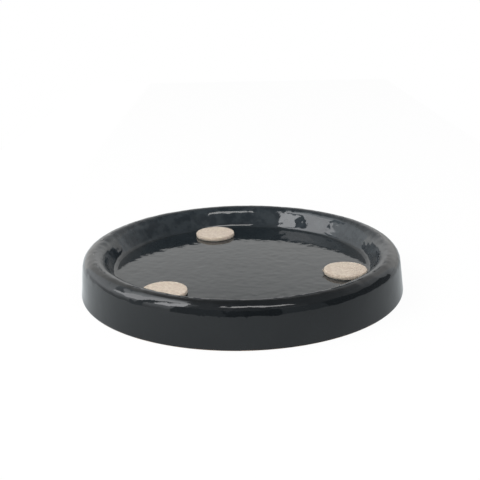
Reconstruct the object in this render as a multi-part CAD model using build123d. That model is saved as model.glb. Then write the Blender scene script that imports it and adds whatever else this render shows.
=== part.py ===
from build123d import *
import math
import os

# Round glazed plant saucer with three felt pads stuck on its floor for the pot to stand on.
# Lengths are in millimetres. The origin is the centre of the foot, on the table.
# +Z points up and -Y is the front.

# Outside of the saucer
foot_radius = 152.5       # outer edge of the wall where it meets the table
height = 38.0             # table to the crest of the rim
wall_lean = 5.0           # how far the outer wall leans inwards between the table and the crest
shoulder_round = 11.0     # broad round between the outer wall and the crest
foot_bevel = 1.2          # softened outer edge of the foot, left by sponging the clay

# Dish
rim_width = 30.5          # from the foot's outer edge in to the edge of the floor
floor_height = 18.2       # table to the floor of the dish
floor_round = 5.0         # glaze-filled round between the floor and the inner wall
lip_round = 7.5           # round between the crest and the inner wall

# Hollow underneath
clay_wall = 7.5           # even thickness of the pressed clay
groove_width = 3.0        # flat top of the groove under the rim, as wide as the mould's rib

# Felt pads
pad_radius = 20.0
felt_thickness = 3.75
adhesive_thickness = 0.25
adhesive_inset = 0.5      # the adhesive film stops short of the felt's edge

# Where the pads were stuck by hand: the gap between pad and floor's edge, and the angle from +X
pad_back_gap = 5.4
pad_back_angle = 106.8
pad_left_gap = 3.3
pad_left_angle = 226.3
pad_right_gap = 2.2
pad_right_angle = 343.6


floor_radius = foot_radius - rim_width
lean_angle = math.atan2(wall_lean, height)


def crest_radius():
    """Where the rim is highest: the shoulder's round, laid against the leaning outer wall, ends level."""
    wall_there = foot_radius - (height - shoulder_round) * math.tan(lean_angle)
    return wall_there - shoulder_round / math.cos(lean_angle)


def slope_angle():
    """The inner wall's angle from upright. It rises from the floor's edge and just touches the lip's round."""
    across = crest_radius() - floor_radius
    up = height - lip_round - floor_height
    return math.atan2(across, up) - math.asin(lip_round / math.hypot(across, up))


def on_round(centre_height, radius, angle):
    """A point on a round centred under the crest, at an angle from the outward level direction."""
    return crest_radius() + radius * math.cos(angle), centre_height + radius * math.sin(angle)


def slope_underside():
    """The corner under the floor's edge, one wall thickness below the skin of floor and slope."""
    half_turn = (math.pi / 2 - slope_angle()) / 2
    return floor_radius + clay_wall * math.tan(half_turn), floor_height - clay_wall


def foot_inside():
    """Radius of the outer wall's inner face at the table."""
    return foot_radius - clay_wall / math.cos(lean_angle)


def groove_corners():
    """The two corners of the groove's flat top, the one at the outer wall first."""
    corner_radius, corner_height = slope_underside()
    level_with_table = corner_radius - corner_height * math.tan(slope_angle())
    closing = math.tan(slope_angle()) + math.tan(lean_angle)
    top = (foot_inside() - level_with_table - groove_width) / closing
    outer = foot_inside() - top * math.tan(lean_angle)
    return (outer, top), (outer - groove_width, top)


def saucer_section():
    """Half of the saucer's section, in radius and height: over the rim first, then back underneath."""
    upright = math.pi / 2
    lip_start = on_round(height - lip_round, lip_round, upright * 2 - slope_angle())
    crest = on_round(height - lip_round, lip_round, upright)
    shoulder_end = on_round(height - shoulder_round, shoulder_round, lean_angle)
    uphill = (math.sin(slope_angle()), math.cos(slope_angle()))
    level = (1, 0)

    floor_and_slope = FilletPolyline(
        (0, floor_height), (floor_radius, floor_height), lip_start, radius=floor_round
    )
    lip = TangentArc(lip_start, crest, tangent=uphill)
    shoulder = TangentArc(crest, shoulder_end, tangent=level)
    wall_and_underside = Polyline(
        shoulder_end,
        (foot_radius, 0),
        (foot_inside(), 0),
        *groove_corners(),
        slope_underside(),
        (0, floor_height - clay_wall),
        (0, floor_height),
    )
    return Plane.XZ * make_face([floor_and_slope, lip, shoulder, wall_and_underside])


def saucer_body():
    """One shell of clay: dish, hollow rim and foot."""
    shell = revolve(saucer_section(), Axis.Z)
    foot_edges = shell.edges().group_by(Axis.Z)[0]
    return chamfer(foot_edges.sort_by(SortBy.LENGTH)[-1], foot_bevel)


def pad_place(edge_gap, angle, base):
    """A pad's own origin, at the given height above the table."""
    reach = floor_radius - edge_gap - pad_radius
    turn = math.radians(angle)
    return Pos(reach * math.cos(turn), reach * math.sin(turn), base)


def adhesive_film():
    return extrude(Circle(pad_radius - adhesive_inset), amount=adhesive_thickness)


def felt_disc():
    return extrude(Circle(pad_radius), amount=felt_thickness)


os.makedirs("parts", exist_ok=True)
export_step(saucer_body(), "parts/saucer_body.step")

pads = {
    "back": (pad_back_gap, pad_back_angle),
    "left": (pad_left_gap, pad_left_angle),
    "right": (pad_right_gap, pad_right_angle),
}
for side, (edge_gap, angle) in pads.items():
    film = pad_place(edge_gap, angle, floor_height) * adhesive_film()
    felt = pad_place(edge_gap, angle, floor_height + adhesive_thickness) * felt_disc()
    export_step(film, f"parts/pad_adhesive_{side}.step")
    export_step(felt, f"parts/felt_pad_{side}.step")
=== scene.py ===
"""Looks of a round, black glazed plant saucer with three beige felt pads on its floor."""

import math
import random

import bpy
from mathutils import Matrix, Vector, noise


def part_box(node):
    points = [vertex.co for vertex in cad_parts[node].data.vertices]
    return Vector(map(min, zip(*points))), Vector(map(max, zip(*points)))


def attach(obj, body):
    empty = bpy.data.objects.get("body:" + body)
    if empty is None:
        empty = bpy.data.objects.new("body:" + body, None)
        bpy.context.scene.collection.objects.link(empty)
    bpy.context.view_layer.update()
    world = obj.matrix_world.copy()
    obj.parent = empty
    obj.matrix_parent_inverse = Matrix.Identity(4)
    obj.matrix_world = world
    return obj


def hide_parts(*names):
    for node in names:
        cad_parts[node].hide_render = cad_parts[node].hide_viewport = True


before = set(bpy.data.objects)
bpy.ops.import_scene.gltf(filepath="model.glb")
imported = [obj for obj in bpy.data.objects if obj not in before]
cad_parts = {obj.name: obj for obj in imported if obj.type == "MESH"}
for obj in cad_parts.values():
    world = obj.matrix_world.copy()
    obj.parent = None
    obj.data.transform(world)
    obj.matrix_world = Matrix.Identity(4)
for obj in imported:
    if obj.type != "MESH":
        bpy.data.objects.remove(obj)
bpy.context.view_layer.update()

MM = 0.001
BODY = "root"

# The saucer's section, in millimetres, as the solid has it
FOOT_RADIUS = 152.5
HEIGHT = 38.0
WALL_LEAN = 5.0
SHOULDER_ROUND = 11.0
RIM_WIDTH = 30.5
FLOOR_HEIGHT = 18.2
FLOOR_ROUND = 5.0
LIP_ROUND = 7.5
CLAY_WALL = 7.5
GROOVE_WIDTH = 3.0
FLOOR_RADIUS = FOOT_RADIUS - RIM_WIDTH

# The glaze lies thicker below the lip, so its skin has a rounder lip and a steeper inner wall
GLAZED_LIP_ROUND = 10.0

# Small rounds that glaze and sponge leave on the solid's sharp corners
FOOT_ROUND = 1.5
FOOT_INNER_ROUND = 1.2
GROOVE_ROUND = 1.3
UNDER_FLOOR_ROUND = 3.5

# How finely the skin is divided, in millimetres along the section
FLOOR_STEP = 1.7
RIM_STEP = 1.15
UNDERSIDE_STEP = 3.5
FEWEST_STEPS_ON_CORNER = 5

# Steps round the saucer, halved on a smaller ring while they stay narrower than the widest, in millimetres
STEPS_ROUND = 640
FEWEST_STEPS_ROUND = 40
WIDEST_STEP_ROUND = 3.0

# Zones over which the skin's unevenness changes, each from one radius to another
RIM_BEGINS = (FLOOR_RADIUS - 4, FLOOR_RADIUS + 6)
INNER_WALL_BEGINS = (FLOOR_RADIUS - 1, FLOOR_RADIUS + 2)
INNER_WALL_ENDS = (FLOOR_RADIUS + 11, FLOOR_RADIUS + 14)
GLAZE_ROLL_RISES = (FLOOR_RADIUS - 0.5, FLOOR_RADIUS + 5)
GLAZE_ROLL_FALLS = (FLOOR_RADIUS + 5, FLOOR_RADIUS + 11)
OUTER_WALL_BEGINS = (FOOT_RADIUS - 8.5, FOOT_RADIUS - 3.5)
WARP_GROWS = (FLOOR_RADIUS, FOOT_RADIUS - 8)

# The same, each from one height to another
FOOT_ENDS = (0.2, 2.5)
LEFT_BULGE_GROWS = (5, 24)
OUTER_WALL_ENDS = (HEIGHT - 14, HEIGHT - 6)

# How the fired clay warped: amounts in millimetres, phases and angles from +X in radians
OVAL = 0.25
OVAL_PHASE = 0.6
THREE_LOBES = 0.2
THREE_LOBES_PHASE = -1.9
LEFT_BULGE = 0.9
LEFT_BULGE_ANGLE = math.radians(168)
RIM_TILT = 0.12
RIM_TILT_ANGLE = 2.1
RIM_WAVE = 0.1
RIM_WAVE_PHASE = -0.4
FRONT_LEFT_RISE = 0.55
FRONT_LEFT_ANGLE = -2.25

# Felt pads, in millimetres and counts
FELT_EDGE_ROUND = 0.9
FELT_BOTTOM_ROUND = 0.5
FELT_SIDE_BULGE = 0.2
PAD_STEPS_ROUND = 168
FIBRES_ON_PAD = 650
FIBRES_IN_TUFT = 16
FIBRE_THICKNESS = (0.022, 0.038)
TUFT_THICKNESS = (0.05, 0.085)
FIRST_PAD_SEED = 20

# Camera fitted to the photograph. Angles are in radians, the distance, lens and sensor in millimetres
CAMERA_ELEVATION = 0.3677
CAMERA_DISTANCE = 774.74
CAMERA_YAW = -0.0019
CAMERA_PITCH = 0.0528
CAMERA_ROLL = -0.0191
CAMERA_LENS = 59.97
SENSOR_WIDTH = 36.0

# Studio
WHITE = (1, 1, 1)
DAYLIGHT = (0.97, 0.98, 1.0)
PANEL_WHITE = (1.0, 0.99, 0.98)
BACKDROP_WHITE = (1.0, 1.0, 0.985)
WALL_TINT = (0.95, 0.99, 1.02)
DIM_TINT = (0.9, 0.98, 1.04)
WORLD_LEVEL = 0.44


# Section of the saucer

def slope_angle(crest_radius, lip_round):
    """The inner wall's angle from upright, from the floor's edge to a touch with the lip's round."""
    across = crest_radius - FLOOR_RADIUS
    up = HEIGHT - lip_round - FLOOR_HEIGHT
    return math.atan2(across, up) - math.asin(lip_round / math.hypot(across, up))


def section_corners():
    """Corners of half the section as (radius, height, round, step), over the rim and back underneath."""
    lean = math.atan2(WALL_LEAN, HEIGHT)
    crest_radius = FOOT_RADIUS - WALL_LEAN - SHOULDER_ROUND * math.tan((math.pi / 2 - lean) / 2)
    slope = slope_angle(crest_radius, LIP_ROUND)
    glazed_slope = slope_angle(crest_radius, GLAZED_LIP_ROUND)
    slope_top = FLOOR_RADIUS + (HEIGHT - FLOOR_HEIGHT) * math.tan(glazed_slope)
    foot_inside = FOOT_RADIUS - CLAY_WALL / math.cos(lean)
    under_floor = FLOOR_HEIGHT - CLAY_WALL
    under_edge = FLOOR_RADIUS + CLAY_WALL * math.tan((math.pi / 2 - slope) / 2)
    level_with_table = under_edge - under_floor * math.tan(slope)
    closing = math.tan(slope) + math.tan(lean)
    groove_top = (foot_inside - level_with_table - GROOVE_WIDTH) / closing
    groove_outer = foot_inside - groove_top * math.tan(lean)
    return [
        (0, FLOOR_HEIGHT, 0, FLOOR_STEP),
        (FLOOR_RADIUS, FLOOR_HEIGHT, FLOOR_ROUND, RIM_STEP),
        (slope_top, HEIGHT, GLAZED_LIP_ROUND, RIM_STEP),
        (FOOT_RADIUS - WALL_LEAN, HEIGHT, SHOULDER_ROUND, RIM_STEP),
        (FOOT_RADIUS, 0, FOOT_ROUND, RIM_STEP),
        (foot_inside, 0, FOOT_INNER_ROUND, UNDERSIDE_STEP),
        (groove_outer, groove_top, GROOVE_ROUND, UNDERSIDE_STEP),
        (groove_outer - GROOVE_WIDTH, groove_top, GROOVE_ROUND, UNDERSIDE_STEP),
        (under_edge, under_floor, UNDER_FLOOR_ROUND, UNDERSIDE_STEP),
        (0, under_floor, 0, UNDERSIDE_STEP),
    ]


def rounded_path(corners):
    """Points along a path with rounded corners. Each point is (radius, height)."""
    path = [Vector(corners[0][:2])]
    for before, (r, z, size, step), after in zip(corners, corners[1:], corners[2:]):
        corner = Vector((r, z))
        arriving = (corner - Vector(before[:2])).normalized()
        leaving = (Vector(after[:2]) - corner).normalized()
        turn = arriving.angle_signed(leaving)
        reach = size * math.tan(abs(turn) / 2)
        start = corner - arriving * reach
        add_line(path, start, before[3])
        side = Vector((-arriving.y, arriving.x)) * (-1 if turn > 0 else 1)
        centre = start + side * size
        steps = max(FEWEST_STEPS_ON_CORNER, math.ceil(abs(turn) * size / min(step, RIM_STEP)))
        for k in range(1, steps + 1):
            spoke = start - centre
            spoke.rotate(Matrix.Rotation(-turn * k / steps, 2))
            path.append(centre + spoke)
    add_line(path, Vector(corners[-1][:2]), corners[-1][3])
    return path


def add_line(path, end, step):
    """Goes on from the path's last point to end, in even steps."""
    start = path[-1]
    steps = max(1, math.ceil((end - start).length / step))
    for k in range(1, steps + 1):
        path.append(start.lerp(end, k / steps))


def section_normals(path):
    """The direction out of the piece at each point of the path."""
    normals = []
    for k in range(len(path)):
        along = path[min(k + 1, len(path) - 1)] - path[max(k - 1, 0)]
        normals.append(Vector((-along.y, along.x)).normalized())
    return normals


# Unevenness of the hand-pressed clay and of the glaze on it

def share_between(value, low, high):
    """0 below low, 1 above high, and smooth in between."""
    t = min(1, max(0, (value - low) / (high - low)))
    return t * t * (3 - 2 * t)


def share_within(value, begins, ends):
    """1 between two zones, 0 outside them, and smooth across each."""
    return share_between(value, *begins) * (1 - share_between(value, *ends))


def out_of_round(angle, height):
    """How far the wall stands out of a true circle, in millimetres."""
    oval = OVAL * math.cos(2 * angle - OVAL_PHASE)
    lobes = THREE_LOBES * math.cos(3 * angle - THREE_LOBES_PHASE)
    left_bulge = LEFT_BULGE * max(0, math.cos(angle - LEFT_BULGE_ANGLE)) ** 3
    return oval + lobes + left_bulge * share_between(height, *LEFT_BULGE_GROWS)


def rim_rise(angle):
    """How far the rim stands above or below its mean height, in millimetres."""
    tilt = RIM_TILT * math.cos(angle - RIM_TILT_ANGLE)
    wave = RIM_WAVE * math.cos(2 * angle - RIM_WAVE_PHASE)
    front_left = FRONT_LEFT_RISE * max(0, math.cos(angle - FRONT_LEFT_ANGLE)) ** 3
    return tilt + wave + front_left


def lumps(place, size, seed):
    """Smooth unevenness of the given size in millimetres, from about -1 to 1."""
    return noise.noise(place / size + Vector((seed, 3.1 * seed, 7.7 * seed)))


def skin_relief(place, radius, height, underside):
    """How far the skin stands out of the smooth form, in millimetres."""
    if underside:
        return 0.16 * lumps(place, size=26, seed=11) + 0.05 * lumps(place, size=11, seed=12)
    on_rim = share_between(radius, *RIM_BEGINS)
    on_wall = share_between(radius, *OUTER_WALL_BEGINS) * (1 - share_between(height, *OUTER_WALL_ENDS))
    on_inner_wall = share_within(radius, INNER_WALL_BEGINS, INNER_WALL_ENDS)
    on_roll = share_within(radius, GLAZE_ROLL_RISES, GLAZE_ROLL_FALLS)
    roll_height = 0.11 + 0.06 * lumps(place, size=4.2, seed=6) + 0.05 * lumps(place, size=2.6, seed=8)
    broad = 0.04 * lumps(place, size=34, seed=1) + 0.09 * on_rim * lumps(place, size=30, seed=4)
    middle = 0.05 + 0.07 * on_rim - 0.07 * on_wall
    fine = 0.07 + 0.12 * on_rim - 0.16 * on_wall + 0.03 * on_inner_wall
    finest = 0.015 + 0.05 * on_rim - 0.055 * on_wall
    relief = broad + on_roll * roll_height
    relief += middle * lumps(place, size=12, seed=5)
    relief += fine * lumps(place, size=5.5, seed=7)
    relief += finest * lumps(place, size=3, seed=9)
    return relief


def skin_point(spot, normal, angle, underside):
    """A point of the finished skin, in metres."""
    outward = Vector((math.cos(angle), math.sin(angle), 0))
    place = outward * spot.x + Vector((0, 0, spot.y))
    relief = skin_relief(place, spot.x, spot.y, underside)
    out = outward * normal.x + Vector((0, 0, normal.y))
    on_foot = 1 - share_between(spot.y, *FOOT_ENDS)
    warp = share_between(spot.x, *WARP_GROWS)
    moved = place + out * relief * (1 - on_foot)
    moved += outward * out_of_round(angle, spot.y) * warp
    moved.z += rim_rise(angle) * share_between(spot.y, FLOOR_HEIGHT, HEIGHT) * warp
    return moved * MM


# Meshes

def steps_round(radius, widest):
    """How many points a ring has: as many as the rim, halved while they stay close enough together."""
    steps = STEPS_ROUND
    while steps > FEWEST_STEPS_ROUND and 2 * math.pi * radius / (steps / 2) < widest:
        steps //= 2
    return steps


def join_rings(faces, a, b):
    """Faces between two rings. A ring may have half as many points as the other."""
    if len(a) == len(b):
        for k in range(len(a)):
            n = (k + 1) % len(a)
            faces.append((a[k], b[k], b[n], a[n]))
        return
    few, many = (a, b) if len(a) < len(b) else (b, a)
    turn_over = few is b
    for k in range(len(few)):
        n = (k + 1) % len(few)
        m = (2 * k + 1) % len(many)
        e = (2 * k + 2) % len(many)
        fan = ((few[k], many[2 * k], many[m]), (few[k], many[m], few[n]), (few[n], many[m], many[e]))
        for face in fan:
            faces.append(face[::-1] if turn_over else face)


def ring_faces(rings):
    """Faces from each ring to the next. A ring of one point closes the skin."""
    faces = []
    for a, b in zip(rings, rings[1:]):
        if len(a) == 1:
            faces += [(a[0], b[k], b[(k + 1) % len(b)]) for k in range(len(b))]
        elif len(b) == 1:
            faces += [(a[k], b[0], a[(k + 1) % len(a)]) for k in range(len(a))]
        else:
            join_rings(faces, a, b)
    return faces


def new_mesh(name, points, faces, smooth=True):
    """A mesh object in the scene, from points in metres."""
    mesh = bpy.data.meshes.new(name)
    mesh.from_pydata(points, [], faces)
    mesh.validate()
    if smooth:
        mesh.shade_smooth()
    made = bpy.data.objects.new(name, mesh)
    bpy.context.scene.collection.objects.link(made)
    return made


def glazed_saucer():
    """The saucer's whole skin: the dish, the rim, the outer wall, and the hollow underneath."""
    path = rounded_path(section_corners())
    crest = max(range(len(path)), key=lambda k: path[k].y)
    lowest = min(range(crest, len(path)), key=lambda k: (path[k].y, path[k].x))
    points, rings = [], []
    for k, (spot, normal) in enumerate(zip(path, section_normals(path))):
        underside = k > lowest
        widest = UNDERSIDE_STEP if underside else WIDEST_STEP_ROUND
        steps = 1 if spot.x == 0 else steps_round(spot.x, widest)
        if rings and len(rings[-1]) > 1 and steps > 1:
            steps = max(len(rings[-1]) // 2, min(steps, len(rings[-1]) * 2))
        rings.append(range(len(points), len(points) + steps))
        for j in range(steps):
            points.append(skin_point(spot, normal, 2 * math.pi * j / steps, underside))
    return new_mesh("glazed_saucer", points, ring_faces(rings))


# Felt pads

def felt_section(radius, low, high):
    """Half of a pad's section in millimetres, with the soft edges of die-cut felt."""
    top_step = 1.0
    under_step = 4.0
    edge_steps = 4
    side_steps = 5
    bottom_cut_share = 0.3
    edge = FELT_EDGE_ROUND
    bottom = FELT_BOTTOM_ROUND
    path = [Vector((0, high))]
    add_line(path, Vector((radius - edge, high)), top_step)
    for k in range(1, edge_steps + 1):
        a = math.pi / 2 * (1 - k / edge_steps)
        path.append(Vector((radius - edge + edge * math.cos(a), high - edge + edge * math.sin(a))))
    for k in range(1, side_steps):
        t = k / side_steps
        drop = (high - edge - low - bottom) * t
        path.append(Vector((radius + FELT_SIDE_BULGE * math.sin(math.pi * t), high - edge - drop)))
    path.append(Vector((radius, low + bottom)))
    path.append(Vector((radius - bottom * bottom_cut_share, low + bottom * bottom_cut_share)))
    path.append(Vector((radius - bottom, low)))
    add_line(path, Vector((0, low)), under_step)
    return path


def felt_point(centre, spot, normal, angle, seed, low):
    """A point of a pad's skin, in metres. The felt is even where the adhesive holds it."""
    outward = Vector((math.cos(angle), math.sin(angle), 0))
    place = outward * spot.x + Vector((0, 0, spot.y))
    held, loose = low + 0.2, low + 1.2
    free = share_between(spot.y, held, loose)
    relief = 0.10 * lumps(place, size=7, seed=seed)
    relief += 0.07 * lumps(place, size=2.6, seed=seed + 1)
    relief += 0.04 * lumps(place, size=1.3, seed=seed + 2)
    out = outward * normal.x + Vector((0, 0, normal.y))
    inner, rim = 8, 20
    wobble = 0.18 * lumps(outward * 3, size=1.1, seed=seed + 3) * share_between(spot.x, inner, rim)
    moved = place + out * relief * free + outward * wobble
    return (moved + centre) * MM


def add_fibre(points, faces, path, thickness):
    """A three-sided thread along the path, closed at both ends."""
    sides = 3
    end_share = 0.35
    first = len(points)
    for k, here in enumerate(path):
        along = (path[min(k + 1, len(path) - 1)] - path[max(k - 1, 0)]).normalized()
        across = along.orthogonal().normalized()
        other = along.cross(across)
        thin = end_share if k in (0, len(path) - 1) else 1
        for s in range(sides):
            a = 2 * math.pi * s / sides
            points.append((here + (across * math.cos(a) + other * math.sin(a)) * thickness * thin) * MM)
    for k in range(len(path) - 1):
        for s in range(sides):
            n = (s + 1) % sides
            a, b = first + k * sides, first + (k + 1) * sides
            faces.append((a + s, a + n, b + n, b + s))
    last = first + (len(path) - 1) * sides
    faces.append((first + 2, first + 1, first))
    faces.append((last, last + 1, last + 2))


def fibre_path(rng, centre, radius, low, high):
    """A fibre that lies on the felt's top or side, lifted a little in the middle."""
    share_on_top = 0.68
    reach_share = 0.985
    sunk = 0.06
    lengths = (1.0, 3.4)
    lifts = (0.02, 0.28)
    most_bend_share = 0.35
    steps = 4
    on_top = rng.random() < share_on_top
    turn = rng.uniform(0, 2 * math.pi)
    outward = Vector((math.cos(turn), math.sin(turn), 0))
    round_way = Vector((-outward.y, outward.x, 0))
    if on_top:
        start = outward * radius * math.sqrt(rng.random()) * reach_share + Vector((0, 0, high))
        normal = Vector((0, 0, 1))
        along = outward * rng.gauss(0, 1) + round_way * rng.gauss(0, 1)
    else:
        start = outward * (radius + 0.05) + Vector((0, 0, rng.uniform(low + 0.7, high - 0.5)))
        normal = outward
        along = round_way * rng.gauss(0, 1) + Vector((0, 0, rng.gauss(0, 0.5)))
    along.normalize()
    sideways = normal.cross(along)
    length = rng.uniform(*lengths)
    bend = rng.uniform(-most_bend_share, most_bend_share) * length
    lift = rng.uniform(*lifts)
    path = []
    for k in range(steps + 1):
        t = k / steps
        arch = 4 * t * (1 - t)
        spot = start + along * length * (t - 0.5) + sideways * bend * arch + normal * (lift * arch - sunk)
        path.append(spot + centre)
    return path


def tuft_path(rng, centre, radius, low, high):
    """A fibre of a tuft that has come loose at the left of a pad's edge."""
    lengths = (1.6, 3.2)
    depth = 0.5
    turn = math.pi + rng.gauss(0.06, 0.02)
    outward = Vector((math.cos(turn), math.sin(turn), 0))
    start = outward * (radius - depth) + Vector((0, 0, (low + high) / 2 + rng.uniform(-0.3, 1.2)))
    along = (outward + Vector((0, rng.gauss(0, 0.3), rng.gauss(0.1, 0.25)))).normalized()
    curl = Vector((0, rng.gauss(0, 0.4), rng.gauss(0, 0.4)))
    length = rng.uniform(*lengths)
    return [start + centre + along * length * t + curl * t * t for t in (0, 0.25, 0.5, 0.75, 1)]


def felt_pad(side, seed, felt):
    """A felt disc in the place of its plain solid, with loose fibres on its skin."""
    node = "felt_pad_" + side
    low_corner, high_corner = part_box(node)
    middle = (low_corner + high_corner) / 2 / MM
    centre = Vector((middle.x, middle.y, 0))
    low, high = low_corner.z / MM, high_corner.z / MM
    radius = (high_corner.x - low_corner.x) / 2 / MM
    path = felt_section(radius, low, high)
    points, rings = [], []
    for spot, normal in zip(path, section_normals(path)):
        steps = 1 if spot.x == 0 else PAD_STEPS_ROUND
        rings.append(range(len(points), len(points) + steps))
        for j in range(steps):
            points.append(felt_point(centre, spot, normal, 2 * math.pi * j / steps, seed, low))
    faces = ring_faces(rings)
    rng = random.Random(seed)
    for _ in range(FIBRES_ON_PAD):
        path = fibre_path(rng, centre, radius, low, high)
        add_fibre(points, faces, path, rng.uniform(*FIBRE_THICKNESS))
    if side == "right":
        for _ in range(FIBRES_IN_TUFT):
            path = tuft_path(rng, centre, radius, low, high)
            add_fibre(points, faces, path, rng.uniform(*TUFT_THICKNESS))
    pad = new_mesh("felt_" + side, points, faces)
    pad.data.materials.append(felt)
    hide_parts(node)
    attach(pad, BODY)


# Materials

class Nodes:
    """Short ways to build the nodes of a material or a world. Their lengths are in metres."""

    def __init__(self, owner, output="ShaderNodeOutputMaterial"):
        self.owner = owner
        owner.use_nodes = True
        self.tree = owner.node_tree
        self.tree.nodes.clear()
        self.output = self.add(output)

    def add(self, kind, **inputs):
        node = self.tree.nodes.new(kind)
        for name, value in inputs.items():
            self.put(node.inputs[name.replace("_", " ")], value)
        return node

    def put(self, socket, value):
        """Links another node's socket, or sets a plain value."""
        if isinstance(value, bpy.types.NodeSocket):
            self.tree.links.new(value, socket)
        else:
            socket.default_value = value

    def place(self):
        """The object's own coordinates."""
        return self.add("ShaderNodeTexCoord").outputs["Object"]

    def axes(self):
        """The object's own coordinates as three numbers, named X, Y and Z."""
        return self.add("ShaderNodeSeparateXYZ", Vector=self.place()).outputs

    def noise(self, scale, detail=2.0, roughness=0.5):
        """Clouds from 0 to 1. A scale of 100 gives clouds of about 10 mm."""
        node = self.add("ShaderNodeTexNoise", Scale=scale, Detail=detail, Roughness=roughness)
        self.put(node.inputs["Vector"], self.place())
        return node.outputs["Fac"]

    def ramp(self, value, low, high, to_low, to_high, kind="LINEAR"):
        """A straight change from one level to another."""
        node = self.add("ShaderNodeMapRange", Value=value)
        node.interpolation_type = kind
        ends = {"From Min": low, "From Max": high, "To Min": to_low, "To Max": to_high}
        for name, end in ends.items():
            self.put(node.inputs[name], end)
        return node.outputs["Result"]

    def smooth(self, value, low, high, to_low, to_high):
        """A change from one level to another with soft ends."""
        return self.ramp(value, low, high, to_low, to_high, "SMOOTHSTEP")

    def math(self, operation, a, b=0.0):
        node = self.add("ShaderNodeMath")
        node.operation = operation
        self.put(node.inputs[0], a)
        self.put(node.inputs[1], b)
        return node.outputs["Value"]

    def distance(self, a, b):
        """How far two coordinates reach together."""
        squares = self.math("ADD", self.math("MULTIPLY", a, a), self.math("MULTIPLY", b, b))
        return self.math("SQRT", squares)

    def mix(self, share, a, b):
        """A colour between two others, each a socket or (red, green, blue)."""
        node = self.add("ShaderNodeMix")
        node.data_type = "RGBA"
        self.put(node.inputs["Factor"], share)
        for name, value in (("A", a), ("B", b)):
            socket = next(s for s in node.inputs if s.name == name and s.type == "RGBA")
            self.put(socket, (*value, 1.0) if isinstance(value, tuple) else value)
        return next(s for s in node.outputs if s.type == "RGBA")

    def blend(self, share, first, second):
        """One shader that turns into another."""
        node = self.add("ShaderNodeMixShader")
        for socket, value in zip(node.inputs, (share, first.outputs[0], second.outputs[0])):
            self.put(socket, value)
        return node

    def bump(self, height, distance, normal=None):
        node = self.add("ShaderNodeBump", Strength=1.0, Distance=distance, Height=height)
        if normal is not None:
            self.put(node.inputs["Normal"], normal)
        return node.outputs["Normal"]

    def finish(self, shader):
        self.put(self.output.inputs["Surface"], shader.outputs[0])
        return self.owner


def glaze_material():
    """Black gloss glaze above the bare clay of the foot, with painted light inside the dish: lighter on
    the dish floor, in blotches on the inner wall, and most near the crest.
    """
    painted_light_edge = (0.137, 0.144)
    wall_foot = (0.1245, 0.1275)
    crest_foot = (0.1325, 0.1375)
    glaze_end = (-0.0003, 0.0001)
    n = Nodes(bpy.data.materials.new("black_glaze"))
    axes = n.axes()
    across = n.distance(axes["X"], axes["Y"])
    wavering = n.math("ADD", across, n.math("MULTIPLY", n.noise(45, detail=2), 0.006))
    # Painted light inside the dish: the glaze's colour there is lighter, and the lit zone reaches further
    # out at the back
    painted_light_reach_at_back = n.ramp(axes["Y"], -0.05, 0.08, 0, -0.005)
    in_dish = n.smooth(n.math("ADD", wavering, painted_light_reach_at_back), *painted_light_edge, 1, 0)
    on_inner_wall = n.smooth(wavering, *wall_foot, 0, 1)
    crest_painted_light = n.smooth(across, *crest_foot, 0, 1)

    cloud = n.smooth(n.noise(22, detail=3), 0.35, 0.65, 0, 1)
    blotch = n.smooth(n.noise(85, detail=3, roughness=0.6), 0.40, 0.60, 0, 1)
    # The plain glaze outside the dish, and the dish floor lightened with painted light
    thin = n.mix(cloud, (0.0044, 0.0060, 0.0075), (0.0062, 0.0080, 0.0097))
    dish_floor_painted_light = n.mix(cloud, (0.0150, 0.0205, 0.0250), (0.0185, 0.0245, 0.0290))
    # The inner wall lightened with painted light in blotches, and most near the crest
    wall = n.mix(blotch, (0.0115, 0.0180, 0.0240), (0.0280, 0.0370, 0.0440))
    wall = n.mix(crest_painted_light, wall, (0.0430, 0.0480, 0.0550))
    # Painted light, picked by place: the plain glaze outside the dish, the lit dish floor, and the lit
    # inner wall
    depth = n.mix(in_dish, thin, n.mix(on_inner_wall, dish_floor_painted_light, wall))
    speck = n.smooth(n.noise(900, detail=1), 0.70, 0.76, 0, 0.5)
    colour = n.mix(speck, depth, (0.024, 0.027, 0.028))
    orange_peel = n.bump(n.noise(260, detail=2), distance=0.00004)
    finer = n.bump(n.noise(480, detail=1), distance=0.00002, normal=orange_peel)
    gloss = n.add("ShaderNodeBsdfPrincipled", IOR=1.5, Base_Color=colour, Normal=finer)
    n.put(gloss.inputs["Roughness"], n.smooth(n.noise(35, detail=4, roughness=0.6), 0.3, 0.7, 0.02, 0.06))

    clay_cloud = n.smooth(n.noise(60, detail=4), 0.35, 0.65, 0, 1)
    clay_tone = n.mix(clay_cloud, (0.36, 0.245, 0.155), (0.46, 0.33, 0.22))
    clay_speck = n.smooth(n.noise(1400, detail=2), 0.62, 0.72, 0, 1)
    clay = n.mix(clay_speck, clay_tone, (0.20, 0.13, 0.09))
    grain = n.bump(n.noise(2600, detail=3), distance=0.00015)
    matte = n.add("ShaderNodeBsdfPrincipled", Roughness=0.88, Base_Color=clay, Normal=grain)

    glaze_line = n.math("MULTIPLY", n.noise(90, detail=2), 0.0016)
    bare = n.smooth(n.math("SUBTRACT", axes["Z"], glaze_line), *glaze_end, 1, 0)
    return n.finish(n.blend(bare, gloss, matte))


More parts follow.
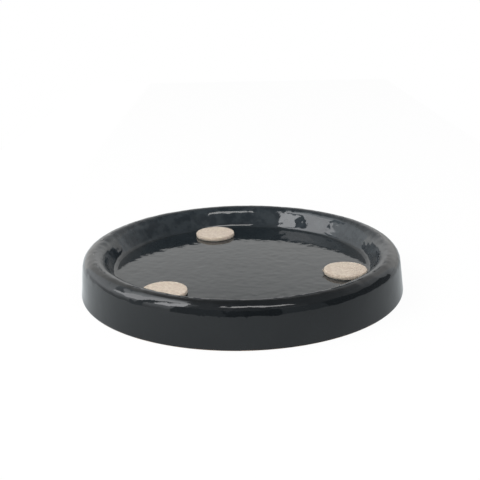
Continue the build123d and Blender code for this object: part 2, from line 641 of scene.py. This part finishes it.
def felt_material():
    """Beige needle felt: mottled, matte, with a matted grain of fibres, and painted shade low on its side.
    """
    painted_shade_heights = (0.0188, 0.0218)
    n = Nodes(bpy.data.materials.new("beige_felt"))
    mottle = n.smooth(n.noise(330, detail=4, roughness=0.65), 0.34, 0.66, 0, 1)
    base = n.mix(mottle, (0.66, 0.525, 0.41), (0.87, 0.755, 0.615))
    grain = n.noise(1500, detail=3, roughness=0.65)
    grained = n.mix(n.smooth(grain, 0.42, 0.62, 0.5, 0), base, (0.57, 0.46, 0.355))
    pale_fibre = n.smooth(n.noise(2300, detail=2), 0.62, 0.74, 0, 0.7)
    flecked = n.mix(pale_fibre, grained, (0.80, 0.73, 0.64))
    # Painted shade: the colour darkens towards the bottom of the pad's side
    painted_shade_low_side = n.smooth(n.axes()["Z"], *painted_shade_heights, 0.15, 0)
    colour = n.mix(painted_shade_low_side, flecked, (0.30, 0.235, 0.18))
    rough = n.bump(grain, distance=0.00022)
    uneven = n.bump(n.noise(420, detail=3), distance=0.0003, normal=rough)
    felt = n.add("ShaderNodeBsdfPrincipled", Roughness=0.95, Base_Color=colour, Normal=uneven)
    felt.inputs["Sheen Weight"].default_value = 0.25
    felt.inputs["Sheen Roughness"].default_value = 0.6
    return n.finish(felt)


def adhesive_material():
    """Cloudy acrylic film, with tiny trapped bubbles."""
    n = Nodes(bpy.data.materials.new("adhesive_film"))
    cloud = n.smooth(n.noise(300, detail=3), 0.35, 0.65, 0, 1)
    tone = n.mix(cloud, (0.55, 0.51, 0.42), (0.66, 0.62, 0.53))
    bubble = n.smooth(n.noise(1200, detail=1), 0.66, 0.72, 0, 0.8)
    colour = n.mix(bubble, tone, (0.80, 0.78, 0.74))
    raised = n.bump(bubble, distance=0.00004)
    film = n.add("ShaderNodeBsdfPrincipled", IOR=1.47, Base_Color=colour, Normal=raised)
    n.put(film.inputs["Roughness"], n.smooth(n.noise(500, detail=2), 0.3, 0.7, 0.3, 0.5))
    return n.finish(film)


# Studio, in metres

def seen_and_mirrored(n):
    """Whether a ray comes straight from the camera, and whether it is mirrored or comes through glass."""
    path = n.add("ShaderNodeLightPath").outputs
    return path["Is Camera Ray"], n.math("MAXIMUM", path["Is Glossy Ray"], path["Is Transmission Ray"])


def white_floor():
    """A pale table that ends a short way in front of the saucer and beside it, and runs far back.
    The camera sees it white, with the saucer's soft shadow.
    The glaze mirrors it with painted light, paler at the window's side and dimmer towards the right."""
    side, back, front = 0.42, 1.6, -0.36
    left_front = [(-side, -0.04), (-0.29, -0.16), (-0.24, -0.30), (-0.16, front)]
    edge = [(side, back), (-side, back), *left_front, (side, front)]
    table = new_mesh("table", [(x, y, 0) for x, y in edge], [tuple(range(len(edge)))], smooth=False)
    seen_white = 1.03
    seen_share = 0.92
    mirrored_share = 0.9
    mirrored_tint = (0.94, 1.0, 1.03)
    n = Nodes(bpy.data.materials.new("table_white"))
    seen, mirrored = seen_and_mirrored(n)
    # Painted light in the table's mirrored glow: brighter towards the window at the left, dimming towards
    # the right
    across = n.axes()["X"]
    painted_window_light = n.ramp(across, -0.30, 0, 0.38, 0)
    whole = n.ramp(across, 0, 0.35, 0.72, 0.60)
    strength = n.math("MAXIMUM", n.math("MULTIPLY", seen, seen_white), n.math("ADD", painted_window_light, whole))
    glow = n.add("ShaderNodeEmission", Color=n.mix(seen, mirrored_tint, WHITE), Strength=strength)
    paint = n.add("ShaderNodeBsdfDiffuse", Color=(0.84, 0.84, 0.84, 1))
    seen_part = n.math("MULTIPLY", seen, seen_share)
    mirrored_part = n.math("MULTIPLY", mirrored, mirrored_share)
    share = n.math("ADD", seen_part, mirrored_part)
    table.data.materials.append(n.finish(n.blend(share, paint, glow)))


def white_world():
    """White where it is seen or mirrored, and a plain level of light elsewhere."""
    world = bpy.data.worlds.new("studio")
    bpy.context.scene.world = world
    n = Nodes(world, "ShaderNodeOutputWorld")
    shown = n.math("MAXIMUM", *seen_and_mirrored(n))
    level = n.ramp(shown, 0, 1, WORLD_LEVEL, 1)
    n.finish(n.add("ShaderNodeBackground", Color=(*WHITE, 1), Strength=level))


def direction(azimuth, elevation):
    """A unit vector. Azimuth 0 is behind the saucer and 90 to its right, in degrees."""
    a, e = math.radians(azimuth), math.radians(elevation)
    return Vector((math.sin(a) * math.cos(e), math.cos(a) * math.cos(e), math.sin(e)))


def add_card(name, spots, levels, tint):
    """A sheet over a grid of spots, lit at the given levels, that only the glaze's reflections show."""
    rows, columns = len(spots), len(spots[0])
    faces = [
        (i * columns + j, (i + 1) * columns + j, (i + 1) * columns + j + 1, i * columns + j + 1)
        for i in range(rows - 1) for j in range(columns - 1)
    ]
    made = new_mesh(name, [spot for row in spots for spot in row], faces, smooth=False)
    lit = made.data.attributes.new("level", "FLOAT", "POINT")
    lit.data.foreach_set("value", [level for row in levels for level in row])
    n = Nodes(bpy.data.materials.new(name))
    level = n.add("ShaderNodeAttribute")
    level.attribute_name = "level"
    glow = n.add("ShaderNodeEmission", Color=(*tint, 1), Strength=level.outputs["Fac"])
    made.data.materials.append(n.finish(glow))
    for way in ("camera", "diffuse", "shadow", "transmission"):
        setattr(made, "visible_" + way, False)


def sheet(name, corners, level, tint):
    """An evenly lit sheet between four places, named round its edge."""
    steps = 6
    a, b, c, d = (Vector(corner) for corner in corners)
    spots = [
        [a.lerp(b, i / steps).lerp(d.lerp(c, i / steps), j / steps) for j in range(steps + 1)]
        for i in range(steps + 1)
    ]
    add_card(name, spots, [[level] * (steps + 1)] * (steps + 1), tint)


def far_wall(name, left, right, stops, tint=WALL_TINT):
    """A far card between two azimuths.
    Each stop is an elevation in degrees, with the level there at the left edge and at the right edge."""
    distance = 5.0
    columns = 12
    widest_row = 8
    rows = []
    for (low, *first), (high, *second) in zip(stops, stops[1:]):
        steps = math.ceil((high - low) / widest_row)
        for k in range(steps):
            t = k / steps
            rows.append([low + (high - low) * t] + [f + (s - f) * t for f, s in zip(first, second)])
    rows.append(stops[-1])
    spots, levels = [], []
    for i in range(columns + 1):
        t = i / columns
        azimuth = left + (right - left) * t
        spots.append([direction(azimuth, elevation) * distance for elevation, _, _ in rows])
        levels.append([at_left + (at_right - at_left) * t for _, at_left, at_right in rows])
    add_card(name, spots, levels, tint)


def low_screen(name, left, right, left_top, right_top, level):
    """An upright dim screen just beyond the table, between two azimuths, with its top at two heights."""
    distance = 0.5
    bottom = -0.3
    columns = 8
    spots, levels = [], []
    for i in range(columns + 1):
        t = i / columns
        place = direction(left + (right - left) * t, 0) * distance
        top = left_top + (right_top - left_top) * t
        spots.append([place + Vector((0, 0, z)) for z in (bottom, top)])
        levels.append([level, level])
    add_card(name, spots, levels, DIM_TINT)


def light_panel():
    """A soft light panel high in front of the saucer. It leans away at its top."""
    left, right = -0.10, 0.32
    low, high = (-0.355, 0.50), (-0.436, 1.20)
    corners = [(left, *low), (right, *low), (right, *high), (left, *high)]
    sheet("light_panel", corners, level=5.8, tint=PANEL_WHITE)


def window():
    """A wide window at the left in three panes, with a bar and a curtain rail in front of it."""
    # Each post as its lower end and its upper end, from the front to the back
    posts = [
        ((-0.46, -0.50, 0.48), (-0.46, -0.50, 0.66)),
        ((-0.654, -0.392, 0.39), (-0.654, -0.392, 1.60)),
        ((-1.08, -0.15, 0.36), (-1.08, -0.15, 2.7)),
        ((-1.95, 0.36, 0.80), (-1.80, 0.32, 4.3)),
    ]
    panes = (("left", 6.2), ("middle", 4.8), ("right", 4.5))
    for (side, level), (low_a, high_a), (low_b, high_b) in zip(panes, posts, posts[1:]):
        sheet("window_" + side, [low_a, low_b, high_b, high_a], level, DAYLIGHT)

    near, far = (-0.62, -0.34), (-0.78, -0.26)
    foot, joint, top = -0.3, 0.58, 1.25
    bar = [(*near, foot), (*far, foot), (*far, joint), (*near, joint)]
    sheet("window_bar", bar, level=0.55, tint=DIM_TINT)
    bar_top = [(*near, joint), (*far, joint), (-0.74, -0.28, top), (-0.67, -0.315, top)]
    sheet("window_bar_top", bar_top, level=0.6, tint=DIM_TINT)
    rail = [direction(*corner) for corner in ((-87, 26), (-47, 42), (-47, 51), (-87, 34))]
    sheet("curtain_rail", rail, level=0.8, tint=DIM_TINT)


def room():
    """The room, as far walls from one azimuth to the next."""
    far_wall("under_window", -138, -84, [
        (-20, 1.0, 0.55), (-2, 1.1, 0.55), (3, 1.05, 0.7), (8, 1.15, 1.25), (14, 1.3, 1.7),
        (24, 1.6, 2.2), (30, 1.6, 2.2), (60, 0.9, 2.0), (66, 0.5, 0.5), (90, 0.3, 0.3),
    ])
    far_wall("beside_window", -84, -42, [
        (-20, 0.9, 1.1), (4, 0.6, 1.0), (9, 1.3, 1.2), (16, 2.0, 1.2), (38, 2.0, 1.1),
        (42, 3.0, 1.0), (62, 4.2, 1.0), (68, 4.0, 0.5), (71, 0.45, 0.4), (90, 0.25, 0.25),
    ])
    far_wall("backdrop_left", -42, 0, [
        (-20, 1.2, 0.42), (4, 1.3, 0.42), (9, 1.3, 0.72), (17, 1.1, 0.88), (21, 1.05, 0.80),
        (25, 0.98, 0.60), (32, 0.95, 0.42), (40, 0.95, 0.25), (46, 0.8, 0.13), (54, 0.5, 0.12),
        (60, 0.4, 0.16), (90, 0.22, 0.2),
    ], BACKDROP_WHITE)
    far_wall("backdrop_right", 0, 46, [
        (-20, 0.42, 0.75), (4, 0.42, 0.75), (9, 0.72, 0.95), (17, 0.88, 1.0), (21, 0.80, 1.0),
        (25, 0.60, 0.95), (32, 0.42, 0.9), (40, 0.28, 0.8), (46, 0.15, 0.5), (52, 0.13, 0.3),
        (90, 0.2, 0.2),
    ], BACKDROP_WHITE)
    far_wall("beside_right", 46, 78, [
        (-20, 0.75, 0.5), (4, 0.75, 0.5), (9, 0.95, 0.5), (21, 1.0, 0.35), (26, 0.95, 0.55),
        (40, 0.8, 0.55), (46, 0.5, 0.4), (54, 0.3, 0.35), (90, 0.2, 0.2),
    ])
    far_wall("right", 78, 130, [
        (-20, 0.5, 0.5), (14, 0.5, 0.4), (22, 0.35, 0.25), (26, 0.55, 0.3), (40, 0.5, 0.3),
        (54, 0.35, 0.35), (90, 0.2, 0.2),
    ])
    far_wall("front_right", 130, 158, [
        (-20, 0.4, 0.4), (24, 0.42, 0.42), (38, 0.48, 0.44), (48, 0.4, 0.4), (90, 0.2, 0.2),
    ])
    far_wall("behind_camera", 158, 190, [
        (-20, 0.3, 0.4), (24, 0.3, 0.4), (36, 0.32, 0.42), (42, 0.2, 0.35), (56, 0.25, 0.35),
        (90, 0.15, 0.2),
    ])
    far_wall("front_left", 190, 222, [
        (-20, 0.4, 0.5), (22, 0.4, 0.5), (38, 0.48, 0.6), (50, 0.46, 0.46), (62, 0.5, 0.46),
        (74, 0.4, 0.35), (90, 0.2, 0.2),
    ])


def low_screens():
    """Dim screens from the right round the front to the left."""
    low_screen("screen_right", 74, 130, 0.20, 0.30, level=0.16)
    low_screen("screen_front_right", 130, 158, 0.28, 0.28, level=0.36)
    low_screen("screen_front", 158, 178, 0.30, 0.30, level=0.10)
    low_screen("screen_camera", 178, 190, 0.30, 0.30, level=0.15)
    low_screen("screen_front_left", 190, 222, 0.30, 0.34, level=0.36)


def area_lamp(name, place, size, power, tint):
    """A soft lamp that points at the saucer and doesn't show in its glaze."""
    lamp = bpy.data.lights.new(name, "AREA")
    lamp.shape = "SQUARE"
    lamp.size = size
    lamp.energy = power
    lamp.color = tint
    made = bpy.data.objects.new(name, lamp)
    bpy.context.scene.collection.objects.link(made)
    made.location = place
    made.rotation_mode = "QUATERNION"
    made.rotation_quaternion = (-Vector(place)).to_track_quat("-Z", "Y")
    made.visible_glossy = False
    made.visible_camera = False


def studio():
    """The table, the light, and what stands round the saucer and shows in its glaze."""
    white_world()
    white_floor()
    light_panel()
    window()
    room()
    low_screens()
    area_lamp("key", direction(-110, 42) * 1.8, size=1.3, power=14.0, tint=(1.0, 0.99, 0.97))
    area_lamp("fill", direction(165, 35) * 1.9, size=1.4, power=11.0, tint=WHITE)


def photo_camera():
    """A camera at the photograph's place, with its small turns about its own axes."""
    place = Vector((0, -math.cos(CAMERA_ELEVATION), math.sin(CAMERA_ELEVATION))) * CAMERA_DISTANCE
    ahead = -place.normalized()
    right = Vector((1, 0, 0))
    ahead = (ahead + right * CAMERA_YAW + right.cross(ahead) * CAMERA_PITCH).normalized()
    up = right.cross(-place.normalized())
    right = ahead.cross(up).normalized()
    up = right.cross(ahead)
    turn, lift = math.cos(CAMERA_ROLL), math.sin(CAMERA_ROLL)
    right, up = right * turn + up * lift, up * turn - right * lift
    data = bpy.data.cameras.new("camera")
    data.lens = CAMERA_LENS
    data.sensor_width = SENSOR_WIDTH
    made = bpy.data.objects.new("camera", data)
    bpy.context.scene.collection.objects.link(made)
    axes = Matrix((right, up, -ahead)).transposed()
    made.matrix_world = Matrix.Translation(place * MM) @ axes.to_4x4()
    bpy.context.scene.camera = made


bpy.context.scene.view_settings.view_transform = "Standard"
photo_camera()
studio()

saucer = glazed_saucer()
saucer.data.materials.append(glaze_material())
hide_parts("saucer_body")
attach(saucer, BODY)

felt = felt_material()
film = adhesive_material()
for seed, side in enumerate(("back", "left", "right"), start=FIRST_PAD_SEED):
    felt_pad(side, seed, felt)
    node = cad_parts["pad_adhesive_" + side]
    node.data.materials.clear()
    node.data.materials.append(film)
